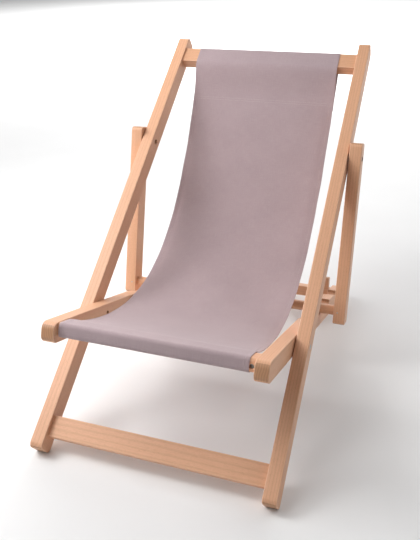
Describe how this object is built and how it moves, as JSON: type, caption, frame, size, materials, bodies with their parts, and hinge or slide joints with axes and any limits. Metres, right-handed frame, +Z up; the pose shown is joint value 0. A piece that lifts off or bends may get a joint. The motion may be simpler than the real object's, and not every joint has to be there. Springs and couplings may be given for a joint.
{
  "type": "folding deck chair",
  "caption": "Folding wooden deck chair with a hung canvas sling, a hinged seat frame and a prop frame that rests in a notched rack.",
  "frame": {"origin": "on the ground, under the middle of the chair's bounding box", "axes": "+Z up, the chair faces -Y, +X is to the right of a viewer who stands in front of it"},
  "size_m": [0.6134, 0.9544, 0.7714],
  "materials": {
    "beech": "planed and lightly oiled, satin",
    "canvas": "matte plain weave, dusty mauve grey",
    "black_hardware": "black oxide, semi-matte",
    "zinc_hardware": "bright zinc plate"
  },
  "bodies": {
    "long_frame": {"long_leg_left": "beech", "long_leg_right": "beech", "top_rail": "beech", "front_stretcher": "beech", "sling": "canvas", "upper_bolt_left": "black_hardware", "upper_bolt_right": "black_hardware", "upper_nut_left": "black_hardware", "upper_nut_right": "black_hardware", "upper_washer_left": "zinc_hardware", "upper_washer_right": "zinc_hardware", "lower_bolt_left": "zinc_hardware", "lower_bolt_right": "zinc_hardware", "lower_nut_left": "black_hardware", "lower_nut_right": "black_hardware", "lower_washer_left": "zinc_hardware", "lower_washer_right": "zinc_hardware"},
    "seat_frame": {"seat_arm_left": "beech", "seat_arm_right": "beech", "seat_front_rail": "beech", "seat_rear_rail": "beech", "rack_stop_left": "beech", "rack_stop_right": "beech", "rail_barrel_nuts": "zinc_hardware", "rail_tie_bolts": "zinc_hardware"},
    "prop_frame": {"prop_leg_left": "beech", "prop_leg_right": "beech", "prop_dowel": "beech", "dowel_pins": "zinc_hardware"}
  },
  "joints": [
    {"name": "seat_lift", "type": "hinge", "parent": "long_frame", "child": "seat_frame", "pos_m": [0, -0.20572, 0.22184], "axis": [-1, 0, 0], "range_deg": [0, 28], "deforming": ["sling"]},
    {"name": "prop_swing", "type": "hinge", "parent": "long_frame", "child": "prop_frame", "pos_m": [0, 0.1846, 0.53271], "axis": [1, 0, 0], "range_deg": [-20, 0]}
  ]
}
